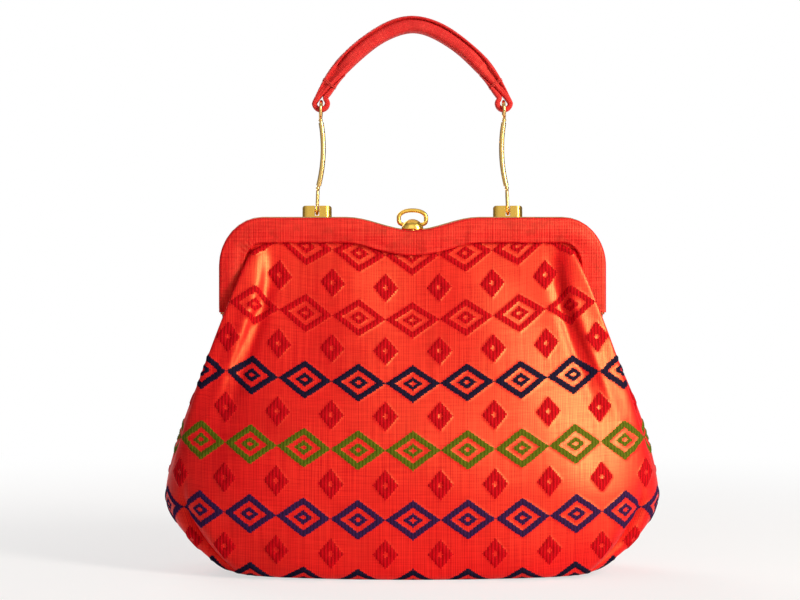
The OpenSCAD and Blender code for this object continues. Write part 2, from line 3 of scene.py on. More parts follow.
import bpy
import numpy as np
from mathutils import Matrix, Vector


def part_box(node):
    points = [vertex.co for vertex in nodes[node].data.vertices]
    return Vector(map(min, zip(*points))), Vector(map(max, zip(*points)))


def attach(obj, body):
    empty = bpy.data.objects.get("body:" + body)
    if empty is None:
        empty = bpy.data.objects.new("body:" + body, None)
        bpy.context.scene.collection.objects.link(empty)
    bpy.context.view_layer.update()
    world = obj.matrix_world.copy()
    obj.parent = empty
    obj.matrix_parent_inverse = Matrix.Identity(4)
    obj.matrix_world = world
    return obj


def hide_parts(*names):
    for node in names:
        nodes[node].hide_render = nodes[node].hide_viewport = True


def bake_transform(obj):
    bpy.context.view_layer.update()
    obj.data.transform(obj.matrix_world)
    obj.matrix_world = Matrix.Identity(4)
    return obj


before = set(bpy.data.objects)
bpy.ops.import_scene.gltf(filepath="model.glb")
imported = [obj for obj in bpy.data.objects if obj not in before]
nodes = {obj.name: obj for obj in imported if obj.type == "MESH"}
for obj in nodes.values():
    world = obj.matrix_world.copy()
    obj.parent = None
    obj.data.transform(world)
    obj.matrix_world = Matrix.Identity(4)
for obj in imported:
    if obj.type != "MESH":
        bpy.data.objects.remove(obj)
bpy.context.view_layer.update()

MM = 0.001
WEAVE_UNIT = 0.01  # a texture unit is 100 mm of cloth

# Sizes in millimetres, as in the part
BELLY_HALF = 140.0
BELLY_DEPTH = 50.0
BELLY_Z = 45.0
BASE_HALF = 99.0
BASE_DEPTH = 39.0
BELLY_SHAPE = 2.6
BASE_SHAPE = 5.0
SWEEP_SHAPE = 4.5
FRAME_HALF = 110.3
FRAME_TOP = 201.4
FRAME_DIP = 7.2
DIP_HALF = 38.0
CORNER_W = 25.0
CORNER_H = 28.0
CORNER_X = FRAME_HALF - CORNER_W
ARM_END_Z = 147.0
BAND_W = 15.0
HALF_DEPTH = 12.0
RIM_PROUD = 0.8
WRAP_START = 2.35
WRAP_T = 0.9
COVER_BACK = 10.8
CLOTH_Y = 9.2
NECK_IN = 1.4
SIDE_Q = 0.74
CORNER_T = 0.45
ARM_T = 0.8
ARM_X = FRAME_HALF - BAND_W - NECK_IN
GUSSET_X = ARM_X + 6.0
GUSSET_Z = 141.9
HEM_LEN = 6.0
HEM_V = 0.2
HANDLE_Y = 4.3
RING_X = 52.39
RING_Z = 262.857
STRAP_RISE = 49.0
STRAP_TOP = RING_Z + STRAP_RISE
TURN_R = 3.7
TURN_Z = RING_Z + 3.9


def lerp(a, b, t):
    return a + (b - a) * t


def smooth(t):
    c = np.clip(t, 0.0, 1.0)
    return c * c * (3 - 2 * c)


def hill(t, mid, half):
    return np.exp(-(((t - mid) / half) ** 2))


def bezier(p, t):
    s = 1 - t
    return s**3 * p[0] + 3 * s * s * t * p[1] + 3 * s * t * t * p[2] + t**3 * p[3]


def stack(*parts):
    return np.stack(np.broadcast_arrays(*parts), -1).astype(float)


# Meshes from grids of points
def grid_object(name, points, wrap=False, weave=None, flip=False):
    rows, columns = points.shape[:2]
    index = np.arange(rows * columns).reshape(rows, columns)
    if wrap:
        index = np.concatenate([index, index[:, :1]], 1)
    a, b = index[:-1, :-1].ravel(), index[:-1, 1:].ravel()
    c, d = index[1:, 1:].ravel(), index[1:, :-1].ravel()
    faces = np.stack([a, d, c, b] if flip else [a, b, c, d], -1)
    mesh = bpy.data.meshes.new(name)
    mesh.from_pydata((points.reshape(-1, 3) * MM).tolist(), [], faces.tolist())
    mesh.polygons.foreach_set("use_smooth", np.ones(len(faces), dtype=bool))
    if weave is not None:
        layer = mesh.uv_layers.new(name="weave")
        layer.data.foreach_set("uv", (weave.reshape(-1, 2)[faces.ravel()] * WEAVE_UNIT).ravel())
    mesh.update()
    obj = bpy.data.objects.new(name, mesh)
    bpy.context.scene.collection.objects.link(obj)
    return obj


def grid_normals(points):
    along = np.gradient(points, axis=1)
    up = np.gradient(points, axis=0)
    n = np.cross(along, up)
    return n / np.maximum(np.linalg.norm(n, axis=-1, keepdims=True), 1e-9)


# Materials
class Shader:
    def __init__(self, name):
        self.material = bpy.data.materials.new(name)
        self.material.use_nodes = True
        self.tree = self.material.node_tree
        self.bsdf = self.tree.nodes["Principled BSDF"]

    def node(self, kind, **settings):
        made = self.tree.nodes.new(kind)
        for key, value in settings.items():
            setattr(made, key, value)
        return made

    def feed(self, socket, value):
        if isinstance(value, bpy.types.NodeSocket):
            self.tree.links.new(value, socket)
        elif isinstance(value, tuple) and len(value) == 3 and socket.type == "RGBA":
            socket.default_value = (*value, 1.0)
        else:
            socket.default_value = value

    def math(self, operation, a, b=None, c=None):
        made = self.node("ShaderNodeMath", operation=operation)
        for socket, value in zip(made.inputs, (a, b, c)):
            if value is not None:
                self.feed(socket, value)
        return made.outputs[0]

    def add(self, a, b):
        return self.math("ADD", a, b)

    def sub(self, a, b):
        return self.math("SUBTRACT", a, b)

    def mul(self, a, b):
        return self.math("MULTIPLY", a, b)

    def ramp(self, value, low, high, to_low=0.0, to_high=1.0):
        made = self.node("ShaderNodeMapRange", interpolation_type="SMOOTHSTEP")
        for socket, x in zip(made.inputs, (value, low, high, to_low, to_high)):
            self.feed(socket, x)
        return made.outputs[0]

    def mix(self, factor, a, b, blend="MIX"):
        made = self.node("ShaderNodeMix", data_type="RGBA", blend_type=blend)
        self.feed(made.inputs["Factor"], factor)
        self.feed(made.inputs[6], a)
        self.feed(made.inputs[7], b)
        return made.outputs[2]

    def noise(self, vector, scale, detail, roughness):
        made = self.node("ShaderNodeTexNoise")
        self.feed(made.inputs["Vector"], vector)
        self.feed(made.inputs["Scale"], scale)
        self.feed(made.inputs["Detail"], detail)
        self.feed(made.inputs["Roughness"], roughness)
        return made.outputs["Fac"]

    def patches(self, u, v, steps, detail):
        return self.noise(self.vector(self.mul(u, steps[0]), self.mul(v, steps[1])), 1.0, detail, 0.6)

    def vector(self, x, y, z=0.0):
        made = self.node("ShaderNodeCombineXYZ")
        for socket, value in zip(made.inputs, (x, y, z)):
            self.feed(socket, value)
        return made.outputs[0]

    def place(self):
        return self.node("ShaderNodeTexCoord").outputs["Object"]

    def split(self, vector):
        made = self.node("ShaderNodeSeparateXYZ")
        self.feed(made.inputs[0], vector)
        return made.outputs[0], made.outputs[1], made.outputs[2]

    def weave(self):
        uv = self.node("ShaderNodeUVMap", uv_map="weave").outputs[0]
        u, v, _ = self.split(uv)
        return self.mul(u, 1 / WEAVE_UNIT), self.mul(v, 1 / WEAVE_UNIT)

    def bump(self, height, distance):
        made = self.node("ShaderNodeBump")
        made.inputs["Distance"].default_value = distance
        self.feed(made.inputs["Height"], height)
        return made.outputs[0]

    def set(self, **values):
        for key, value in values.items():
            self.feed(self.bsdf.inputs[key.replace("_", " ")], value)
        return self.material

    def wave(self, x, pitch):
        return self.math("MULTIPLY_ADD", self.math("COSINE", self.mul(x, 2 * math.pi / pitch)), 0.5, 0.5)

    def fraction(self, x):
        return self.math("FRACT", x)


# Woven pattern: rows of nested lozenges with solid diamonds between them, in fabric millimetres
ROW_STEP = 38.0
LOZENGE_LEN = 30.0
LOZENGE_HALF = 11.0
LOZENGE_ACROSS = 9.0
RING_MID, RING_HALF = 0.82, 0.18
CORE = 0.36
CORE_HOLE = 0.13
DIAMOND_W, DIAMOND_H = 7.0, 8.5
DIAMOND_HOLE = 0.22
PILE_HEIGHT = 0.6
PILE_EDGE = 1.1
GROUND_RELIEF = 0.3
RIB = 0.95
WEFT = 0.8


def pile_relief(u, v):
    a = np.abs(np.mod(u / LOZENGE_LEN + 0.5, 1) - 0.5) * 2
    offset = np.abs(np.mod(v / ROW_STEP + 0.5, 1) - 0.5) * ROW_STEP
    d = a + offset / LOZENGE_HALF
    ring = smooth((RING_HALF - np.abs(d - RING_MID)) * LOZENGE_ACROSS / PILE_EDGE)
    core = smooth((CORE - d) * LOZENGE_ACROSS / PILE_EDGE)
    hole = smooth((CORE_HOLE - d) * LOZENGE_ACROSS / PILE_EDGE + 1)
    d = (1 - a) * LOZENGE_LEN / 2 / DIAMOND_W + (ROW_STEP / 2 - offset) / DIAMOND_H
    diamond = smooth((1 - d) * DIAMOND_W / PILE_EDGE) * smooth((d - DIAMOND_HOLE) * DIAMOND_W / PILE_EDGE)
    return np.maximum.reduce([ring, core * (1 - hole), diamond])


RED_DEEP = (0.58, 0.0008, 0.008)
RED_GROUND = (0.85, 0.003, 0.012)
RED_ORANGE = (0.93, 0.020, 0.018)
CRIMSON = (0.58, 0.0015, 0.009)
NAVY = (0.006, 0.007, 0.030)
GREEN = (0.105, 0.135, 0.008)
PURPLE = (0.032, 0.010, 0.062)
ROW_COLOURS = (NAVY, PURPLE, GREEN, NAVY)
COVER_REDS = (0.52, 0.001, 0.007), (0.88, 0.006, 0.014), (0.94, 0.050, 0.032)
STRAP_REDS = (0.64, 0.020, 0.022), (0.74, 0.036, 0.034), (0.80, 0.070, 0.055)
LINING_DARK, LINING_LIGHT = (0.26, 0.012, 0.018), (0.40, 0.03, 0.03)
BOARD_DARK, BOARD_LIGHT = (0.30, 0.25, 0.18), (0.52, 0.45, 0.35)
THREAD_DARK, THREAD_LIGHT = (0.60, 0.02, 0.02), (0.85, 0.10, 0.07)
FLOOR_TONE = (0.95, 0.92, 0.905)

# Noise steps per millimetre, across and up the cloth
STREAK = (1.05, 0.02)
SLUB = (0.045, 1.2)
CLOUD = (0.03, 0.02)
BLOTCH = (0.11, 0.11)
LINING_FADE = (0.03, 0.03)
THREAD_SHARE, STREAK_SHARE, SLUB_SHARE = 0.6, 0.7, 0.5
PILE_BUMP, COVER_BUMP, STRAP_BUMP = 0.00007, 0.00008, 0.00002


def woven_ground(s, u, v, low, mid, high):
    """Ribbed cloth: colour, height and gloss from uneven warp ribs, weft threads and long streaks."""
    rib = s.wave(u, RIB)
    weft = s.wave(v, WEFT)
    streak = s.patches(u, v, STREAK, 2.0)
    slub = s.patches(u, v, SLUB, 2.0)
    cloud = s.patches(u, v, CLOUD, 3.0)
    thread = s.mul(s.math("MULTIPLY_ADD", rib, 0.55, 0.45), s.math("MULTIPLY_ADD", weft, 0.35, 0.65))
    tone = s.add(s.mul(thread, THREAD_SHARE), s.add(s.mul(streak, STREAK_SHARE), s.mul(slub, SLUB_SHARE)))
    colour = s.mix(s.ramp(tone, 0.65, 1.10), low, mid)
    colour = s.mix(s.mul(s.ramp(tone, 0.95, 1.30), 0.7), colour, high)
    colour = s.mix(s.mul(s.ramp(cloud, 0.45, 0.7), 0.45), colour, low)
    return colour, s.add(thread, s.mul(tone, 0.5)), s.ramp(tone, 0.65, 1.20)


def velvet_material():
    s = Shader("velvet")
    u, v = s.weave()
    step_u = s.math("SNAP", s.add(u, RIB / 2), RIB)
    step_v = s.math("SNAP", v, RIB / 2)
    turn_u = s.math("MULTIPLY_ADD", step_u, 1 / LOZENGE_LEN, 0.5)
    turn_v = s.math("MULTIPLY_ADD", step_v, 1 / ROW_STEP, 0.5)
    a = s.mul(s.math("ABSOLUTE", s.sub(s.fraction(turn_u), 0.5)), 2.0)
    offset = s.mul(s.math("ABSOLUTE", s.sub(s.fraction(turn_v), 0.5)), ROW_STEP)
    d = s.add(a, s.mul(offset, 1 / LOZENGE_HALF))
    ring = s.math("LESS_THAN", s.math("ABSOLUTE", s.sub(d, RING_MID)), RING_HALF)
    core = s.mul(s.math("LESS_THAN", d, CORE), s.math("GREATER_THAN", d, CORE_HOLE))
    side = s.mul(s.sub(1.0, a), LOZENGE_LEN / 2 / DIAMOND_W)
    d = s.add(side, s.mul(s.sub(ROW_STEP / 2, offset), 1 / DIAMOND_H))
    diamond = s.mul(s.math("LESS_THAN", d, 1.0), s.math("GREATER_THAN", d, DIAMOND_HOLE))
    motif = s.math("MAXIMUM", ring, core)
    pile = s.math("MAXIMUM", motif, diamond)

    # Row colours, from the base upwards
    row = s.math("FLOOR", turn_v)
    colour = CRIMSON
    for index, tone in enumerate(ROW_COLOURS):
        colour = s.mix(s.math("COMPARE", row, float(index), 0.5), colour, tone)

    # Pile: ribbed tufts with some light and dark ends, on the woven ground
    ground, thread, gloss = woven_ground(s, u, v, RED_DEEP, RED_GROUND, RED_ORANGE)
    pile_rib = s.wave(u, RIB * 2)
    tuft = s.noise(s.vector(u, v), 1.6, 3.0, 0.6)
    tone = s.mul(s.math("MULTIPLY_ADD", pile_rib, 0.5, 0.6), s.math("MULTIPLY_ADD", tuft, 1.1, 0.5))
    tufts = s.mix(motif, CRIMSON, colour)
    tufts = s.mix(1.0, tufts, s.vector(tone, tone, tone), "MULTIPLY")
    rough = s.add(s.mul(tuft, 1.2), pile_rib)
    flat = s.mul(thread, GROUND_RELIEF)
    height = s.add(flat, s.mul(pile, s.sub(rough, flat)))
    bare = s.sub(1.0, pile)
    return s.set(
        Base_Color=s.mix(pile, ground, tufts),
        Roughness=s.math("MULTIPLY_ADD", pile, 0.35, 0.44),
        Specular_Tint=(1.0, 0.46, 0.13),
        Specular_IOR_Level=s.math("MULTIPLY_ADD", bare, s.math("MULTIPLY_ADD", gloss, 0.35, 0.15), 0.05),
        Normal=s.bump(height, PILE_BUMP),
    )


def ribbed_material(name, low, mid, high, relief):
    s = Shader(name)
    u, v = s.weave()
    ground, thread, gloss = woven_ground(s, u, v, low, mid, high)
    blotch = s.patches(u, v, BLOTCH, 3.0)
    return s.set(
        Base_Color=s.mix(s.mul(s.ramp(blotch, 0.48, 0.72), 0.75), ground, low),
        Roughness=s.math("MULTIPLY_ADD", blotch, 0.2, 0.42),
        Specular_Tint=(1.0, 0.6, 0.25),
        Specular_IOR_Level=s.math("MULTIPLY_ADD", gloss, 0.22, 0.08),
        Normal=s.bump(thread, relief),
    )


def lining_material():
    s = Shader("lining_cloth")
    u, v = s.weave()
    weave = s.mul(s.wave(u, 0.7), s.wave(v, 0.7))
    fade = s.patches(u, v, LINING_FADE, 4.0)
    base = s.mix(s.ramp(fade, 0.3, 0.7), LINING_DARK, LINING_LIGHT)
    return s.set(
        Base_Color=base,
        Roughness=s.math("MULTIPLY_ADD", fade, 0.2, 0.35),
        Sheen_Weight=0.25,
        Sheen_Roughness=0.4,
        Sheen_Tint=(1.0, 0.6, 0.5),
        Normal=s.bump(weave, 0.0001),
    )


def brass_material(name, tone, dull, shade):
    s = Shader(name)
    place = s.place()
    cloud = s.noise(place, 70.0, 3.0, 0.5)
    fine = s.noise(place, 900.0, 3.0, 0.6)
    worn = s.ramp(cloud, 0.48, 0.75)
    base = s.mix(s.mul(worn, 0.5), tone, shade)
    return s.set(
        Base_Color=base,
        Metallic=1.0,
        Roughness=s.add(s.math("MULTIPLY_ADD", worn, dull, 0.16), s.mul(fine, 0.10)),
        Normal=s.bump(s.add(s.mul(fine, 0.3), cloud), 0.000006),
    )


def board_material():
    s = Shader("board")
    fibre = s.noise(s.place(), 400.0, 5.0, 0.7)
    base = s.mix(fibre, BOARD_DARK, BOARD_LIGHT)
    return s.set(Base_Color=base, Roughness=0.85, Normal=s.bump(fibre, 0.0002))


def thread_material():
    s = Shader("sewing_thread")
    u, v = s.weave()
    twist = s.wave(s.add(u, v), 0.6)
    base = s.mix(twist, THREAD_DARK, THREAD_LIGHT)
    return s.set(Base_Color=base, Roughness=0.75, Specular_IOR_Level=0.1, Normal=s.bump(twist, 0.00005))


velvet = velvet_material()
cover_cloth = ribbed_material("cover_cloth", *COVER_REDS, COVER_BUMP)
strap_cloth = ribbed_material("strap_cloth", *STRAP_REDS, STRAP_BUMP)
lining_cloth = lining_material()
gilt = brass_material("gilt", (1.0, 0.62, 0.11), 0.12, (0.88, 0.42, 0.05))
gilt_pale = brass_material("gilt_pale", (0.90, 0.60, 0.21), 0.12, (0.74, 0.42, 0.11))
gilt_frame = brass_material("gilt_frame", (0.62, 0.42, 0.16), 0.30, (0.20, 0.13, 0.06))
board = board_material()
sewing_thread = thread_material()


# Frame outline: points, normals and insets
def top_edge(x):
    return FRAME_TOP - FRAME_DIP * (1 + np.cos(np.pi * np.minimum(np.abs(x), DIP_HALF) / DIP_HALF)) / 2


def outline_half():
    x = DIP_HALF * np.linspace(0, 1, 24)
    slope = FRAME_DIP * np.sin(np.pi * x / DIP_HALF) * np.pi / (2 * DIP_HALF)
    dip = np.stack([x, top_edge(x), -slope, np.ones_like(x)], -1)
    x = np.linspace(DIP_HALF, CORNER_X, 20)[1:-1]
    flat = stack(x, FRAME_TOP, 0.0, 1.0)
    a = np.linspace(np.pi / 2, 0, 30)
    corner = np.stack(
        [
            CORNER_X + CORNER_W * np.cos(a),
            FRAME_TOP - CORNER_H + CORNER_H * np.sin(a),
            np.cos(a) / CORNER_W,
            np.sin(a) / CORNER_H,
        ],
        -1,
    )
    arm = stack(FRAME_HALF, np.linspace(FRAME_TOP - CORNER_H, ARM_END_Z, 14)[1:], 1.0, 0.0)
    half = np.concatenate([dip, flat, corner, arm])
    half[:, 2:] /= np.linalg.norm(half[:, 2:], axis=1, keepdims=True)
    return half


def outline():
    half = outline_half()
    other = half[:0:-1] * np.array([-1, 1, -1, 1])
    return np.concatenate([other, half])


def cover_profile():
    edge, hem, crown = 1.9, 0.95, 0.35
    arc = np.linspace(0, np.pi / 2, 7)
    wall_y = np.linspace(-WRAP_START, edge - HALF_DEPTH, 7)
    points = [(RIM_PROUD, y) for y in wall_y[:-1]]
    top = edge - HALF_DEPTH + crown
    points += [(RIM_PROUD + edge * (1 - math.cos(t)), top - edge * math.sin(t)) for t in arc]
    face = np.linspace(RIM_PROUD + edge, BAND_W - hem, 12)[1:-1]
    span = (face - face[0]) / (face[-1] - face[0])
    points += [(x, crown - HALF_DEPTH - crown * math.sin(math.pi * t)) for x, t in zip(face, span)]
    points += [(BAND_W - hem + hem * math.sin(t), crown - HALF_DEPTH + hem * (1 - math.cos(t))) for t in arc]
    points += [(BAND_W, -COVER_BACK), (RIM_PROUD + WRAP_T, -COVER_BACK), (RIM_PROUD + WRAP_T, -WRAP_START)]
    return np.array(points)


PUCKER, PUCKER_STEP, PUCKER_FROM, PUCKER_OVER = 0.22, 38.0, 8.0, 6.0
SWELL, SWELL_STEP = 0.12, 0.21
FACE_FROM, FACE_OVER = 11.2, 0.5


def cover(name, side):
    line = outline()
    profile = cover_profile()
    inset, depth = profile[:, 0], profile[:, 1]
    x = line[None, :, 0] - line[None, :, 2] * inset[:, None]
    z = line[None, :, 1] - line[None, :, 3] * inset[:, None]
    # Small puckers where the cloth turns the shoulders, and slight unevenness of the padding
    turn = np.abs(line[:, 2] * line[:, 3])[None, :] * 2
    near_hem = smooth((inset[:, None] - PUCKER_FROM) / PUCKER_OVER)
    face = smooth((-depth[:, None] - FACE_FROM) / FACE_OVER)
    angle = np.arctan2(line[:, 2], line[:, 3])[None, :]
    pucker = PUCKER * turn * near_hem * np.sin(angle * PUCKER_STEP + inset[:, None] * 0.4)
    swell = SWELL * np.sin(line[None, :, 0] * SWELL_STEP + inset[:, None] * 0.5 + side) * face
    y = depth[:, None] + face * (pucker + swell)
    points = stack(x, y * -side, z)
    obj = grid_object(name, points.transpose(1, 0, 2), True, stack(x, z).transpose(1, 0, 2), side < 0)
    obj.data.materials.append(cover_cloth)
    return obj


front_cover = cover("front_cover_cloth", -1)
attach(front_cover, "front_half")
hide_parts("front_cover")
rear_cover = cover("rear_cover_cloth", 1)
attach(rear_cover, "bag")
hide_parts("rear_cover")


# Cloth body: curves that rise from the base, round the belly and run up into the frame
FRONT_RISE, SIDE_RISE = 47.0, 25.0
FRONT_SWEEP, SIDE_SWEEP = 0.75, 0.12
FRONT_ROUND, SIDE_ROUND = 0.3, 0.55
FRONT_DROP = np.array([0.0, -4.5, -35.0])
ARM_DROP = np.array([3.5, -16.0, -8.0])
GUSSET_DROP = np.array([13.5, 0.0, -1.6])
PLEAT_Q, PLEAT_RUN = 0.715, 0.09
PLEAT_RISE, PLEAT_HALF = 3.6, 0.055
VALLEY_DEPTH, VALLEY_Q, VALLEY_HALF = 1.5, -0.11, 0.040
# Lower corners: height, place and half width of each rise and fall
CREASES = ((-4.6, 0.705, 0.022), (-2.0, 0.70, 0.06), (1.4, 0.80, 0.06), (1.0, 0.58, 0.06))
CREASE_FROM, CREASE_OVER = 0.08, 1.05
UNEVEN, CALM_V = 0.5, 0.3
EDGE_LIFT, EDGE_BEND, EDGE_FADE = 1.7, 1.6, 0.9
PILE_FROM, PILE_OVER = 0.5, 4.0
PANEL_COLUMNS, UNDER_ROWS, LOWER_ROWS, UPPER_ROWS = 151, 18, 56, 130


def curve_out(q, shape):
    return np.sin(np.pi / 2 * q) ** (2 / shape)


def curve_in(q, shape):
    return np.clip(np.cos(np.pi / 2 * q), 0, 1) ** (2 / shape)


def oval(half, depth, shape, q, z):
    return stack(half * curve_out(q, shape), -depth * curve_in(q, shape), z)


def neck_at(q):
    t = (q - SIDE_Q) / (1 - SIDE_Q)
    x = CORNER_X * curve_out(q, BELLY_SHAPE) / curve_out(SIDE_Q, BELLY_SHAPE)
    top = stack(x, -CLOTH_Y, top_edge(x) - BAND_W - NECK_IN)
    a = np.pi / 2 * (1 - np.clip(t / CORNER_T, 0, 1))
    nx, nz = np.cos(a) / CORNER_W, np.sin(a) / CORNER_H
    k = (BAND_W + NECK_IN) / np.hypot(nx, nz)
    corner = stack(
        CORNER_X + CORNER_W * np.cos(a) - nx * k,
        -CLOTH_Y,
        FRAME_TOP - CORNER_H + CORNER_H * np.sin(a) - nz * k,
    )
    s = np.clip((t - CORNER_T) / (ARM_T - CORNER_T), 0, 1)
    arm = stack(ARM_X, -CLOTH_Y, lerp(FRAME_TOP - CORNER_H, GUSSET_Z, s))
    g = np.pi / 2 * np.clip((t - ARM_T) / (1 - ARM_T), 0, 1)
    gusset = stack(lerp(ARM_X, GUSSET_X, np.sin(g)), -CLOTH_Y * np.cos(g), GUSSET_Z)
    t = t[..., None]
    return np.where(t <= 0, top, np.where(t <= CORNER_T, corner, np.where(t <= ARM_T, arm, gusset)))


def neck_drop(q):
    to_arm = smooth((q - 0.62) / 0.2)[..., None]
    to_gusset = smooth((q - 0.93) / 0.07)[..., None]
    return lerp(lerp(FRONT_DROP, ARM_DROP, to_arm), GUSSET_DROP, to_gusset)


def hem_dir(q):
    t = np.clip((q - SIDE_Q) / (1 - SIDE_Q), 0, 1)
    out = smooth(t / CORNER_T) * (1 - smooth((t - ARM_T) / (1 - ARM_T)))
    return stack(0.7 * out, 0.0, 1 - 0.8 * out)


def even_columns(count):
    q = np.linspace(0, 1, 4001)
    line = oval(BELLY_HALF, BELLY_DEPTH, BELLY_SHAPE, q, 0.0)
    run = np.concatenate([[0], np.cumsum(np.linalg.norm(np.diff(line, axis=0), axis=1))])
    return np.interp(np.linspace(0, run[-1], count), run, q)


def body_quarter(q, v):
    q_grid, v_grid = np.meshgrid(q, v)
    sweep_half = lerp(BASE_HALF, BELLY_HALF, SIDE_SWEEP)
    sweep_depth = lerp(BASE_DEPTH, BELLY_DEPTH, FRONT_SWEEP)
    bend = lerp(FRONT_ROUND, SIDE_ROUND, smooth(q_grid))
    rise = lerp(FRONT_RISE, SIDE_RISE, smooth(q_grid))
    t = np.clip(v_grid, 0, 1)[..., None]
    lower = bezier(
        [
            oval(BASE_HALF, BASE_DEPTH, BASE_SHAPE, q_grid, 0.0),
            oval(sweep_half, sweep_depth, SWEEP_SHAPE, q_grid, 0.0),
            oval(BELLY_HALF, BELLY_DEPTH, BELLY_SHAPE, q_grid, BELLY_Z * bend),
            oval(BELLY_HALF, BELLY_DEPTH, BELLY_SHAPE, q_grid, BELLY_Z),
        ],
        t,
    )
    t = np.clip(v_grid - 1, 0, 1)[..., None]
    neck = neck_at(q_grid)
    upper = bezier(
        [
            oval(BELLY_HALF, BELLY_DEPTH, BELLY_SHAPE, q_grid, BELLY_Z),
            oval(BELLY_HALF, BELLY_DEPTH, BELLY_SHAPE, q_grid, BELLY_Z + rise),
            neck + neck_drop(q_grid),
            neck,
        ],
        t,
    )
    hem = neck + hem_dir(q_grid) * HEM_LEN * np.clip((v_grid - 2) / HEM_V, 0, 1)[..., None]
    under = oval(BASE_HALF, BASE_DEPTH, BASE_SHAPE, q_grid, 0.0)
    under[..., 1] *= 1 + np.minimum(v_grid, 0)
    v3 = v_grid[..., None]
    return np.where(v3 <= 0, under, np.where(v3 <= 1, lower, np.where(v3 <= 2, upper, hem)))


def body_folds(q, v, sign):
    """Pleats below the shoulders, boxed lower corners and a soft unevenness, in millimetres outwards."""
    q, v = np.meshgrid(q, v)
    high = np.where((v > 1) & (v < 2), np.sin(np.pi * np.clip(v - 1, 0, 1) ** 1.6) ** 2, 0)
    line = q - PLEAT_Q + PLEAT_RUN * (2 - v)
    pleat = PLEAT_RISE * hill(line, 0.0, PLEAT_HALF) - VALLEY_DEPTH * hill(line, VALLEY_Q, VALLEY_HALF)
    low = np.sin(np.pi * np.clip((v - CREASE_FROM) / CREASE_OVER, 0, 1)) ** 1.5
    crease = sum(height * hill(q, mid, half) for height, mid, half in CREASES)
    turn = q * sign
    soft = np.sin(turn * 9 + 1.3) * np.sin(v * 4.4 + 1) + 0.6 * np.sin(turn * 17 + v * 5 + 2.1)
    calm = smooth(v / CALM_V) * smooth((2 - v) / CALM_V)
    return high * pleat + low * crease + UNEVEN * soft * calm


def velvet_panel(name, side):
    half = even_columns(PANEL_COLUMNS)
    under, lower = np.linspace(-1, 0, UNDER_ROWS)[:-1], np.linspace(0, 1, LOWER_ROWS)[:-1]
    v = np.concatenate([under, lower, np.linspace(1, 2, UPPER_ROWS), [2 + HEM_V / 3, 2 + HEM_V]])
    right = body_quarter(half, v)
    left = right[:, :0:-1] * np.array([-1, 1, 1])
    points = np.concatenate([left, right], 1)
    folds = np.concatenate([body_folds(half, v, -1)[:, :0:-1], body_folds(half, v, 1)], 1)
    middle = len(half) - 1
    normal = grid_normals(points)
    points = points + normal * folds[..., None]
    # The soft edge of the base lifts towards the corners
    level = v[:, None]
    near_edge = np.where(level < 0, smooth(1 + level), smooth((EDGE_FADE - level) / EDGE_FADE))
    points[..., 2] += EDGE_LIFT * (np.abs(points[..., 0]) / BASE_HALF).clip(0, 1) ** EDGE_BEND * near_edge
    # Fabric coordinates: across and up the panel, from the middle of the base's edge
    step = np.linalg.norm(np.diff(points[..., :2], axis=1), axis=-1)
    run = np.concatenate([np.zeros((len(v), 1)), np.cumsum(step, 1)], 1)
    across = run - run[:, middle : middle + 1]
    rise = np.linalg.norm(np.diff(points[..., 1:], axis=0), axis=-1)
    up = np.concatenate([np.zeros((1, rise.shape[1])), np.cumsum(rise, 0)], 0)
    edge_row = int(np.argmin(np.abs(v)))
    up = up - up[edge_row : edge_row + 1]
    weave = stack(across, up)
    normal = grid_normals(points)
    fade = smooth((points[..., 2] - PILE_FROM) / PILE_OVER)
    points = points + normal * (pile_relief(across, up) * PILE_HEIGHT * fade)[..., None]
    points[..., 2] = np.maximum(points[..., 2], 0.0)
    if side > 0:
        points = points * np.array([1, -1, 1])
    obj = grid_object(name, points, False, weave, side > 0)
    obj.data.materials.append(velvet)
    return obj


front_panel = velvet_panel("front_panel", -1)
rear_panel = velvet_panel("rear_panel", 1)
for panel in (front_panel, rear_panel):
    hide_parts("velvet_body")
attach(rear_panel, "bag")
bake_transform(front_panel)


# Lining: a plainer sack, sewn in along the same hem
LINING_FLOOR = 4.8
LINING_HALF = BELLY_HALF - 12.0
LINING_DEPTH = BELLY_DEPTH - 5.0
LINING_EASE = 10.0
LINING_BASE = BASE_HALF - 3.0
LINING_BASE_DEPTH = BASE_DEPTH - 3.0
LINING_UP = 4.8
LINING_SINK = 2.4
LINING_IN = np.array([0.962, 0.85, 1.0])
LINING_SWEEP, LINING_KNEE = 0.15, 0.4
SINK_Q = 0.1
SAG, SAG_SWAY = 4.2, 0.8
LINING_COLUMNS = 46


